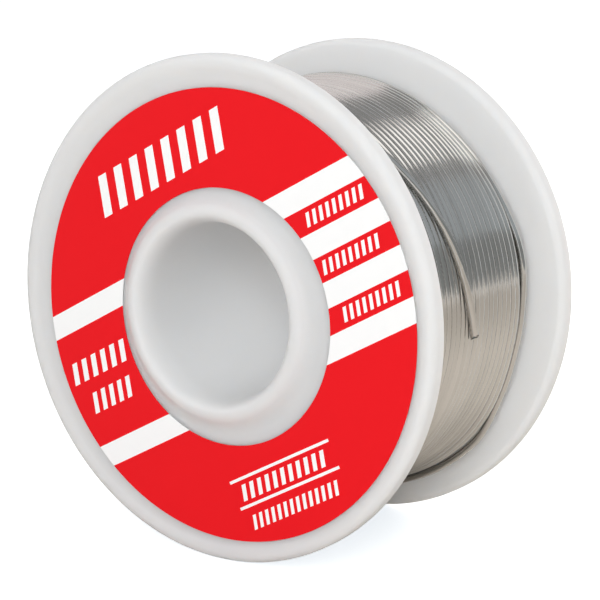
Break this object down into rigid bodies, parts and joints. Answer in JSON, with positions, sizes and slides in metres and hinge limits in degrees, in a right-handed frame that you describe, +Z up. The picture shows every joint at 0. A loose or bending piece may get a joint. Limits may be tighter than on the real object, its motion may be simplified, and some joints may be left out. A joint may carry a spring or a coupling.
{
  "type": "solder wire spool",
  "caption": "Round flanged spool with a central spindle bore, wound with a fine soft-metal solder wire whose free end lies across the turns.",
  "frame": {"origin": "centre of the spindle bore, midway between the two flanges", "axes": "+Y along the spindle axis from the labelled front face to the rear face, +Z up, +X to the right when looking at the label"},
  "size_m": [0.06, 0.0338, 0.06],
  "materials": {
    "spool_plastic": "translucent white moulded plastic, satin",
    "label_print": "coated paper printed red and white, satin",
    "solder": "drawn tin-lead wire, bright satin"
  },
  "bodies": {
    "root": {"front_flange": "spool_plastic", "rear_flange": "spool_plastic", "front_label": "label_print", "wire_pack": "solder", "wire_layer": "solder", "wire_end": "solder", "wire_start": "solder"}
  },
  "joints": []
}
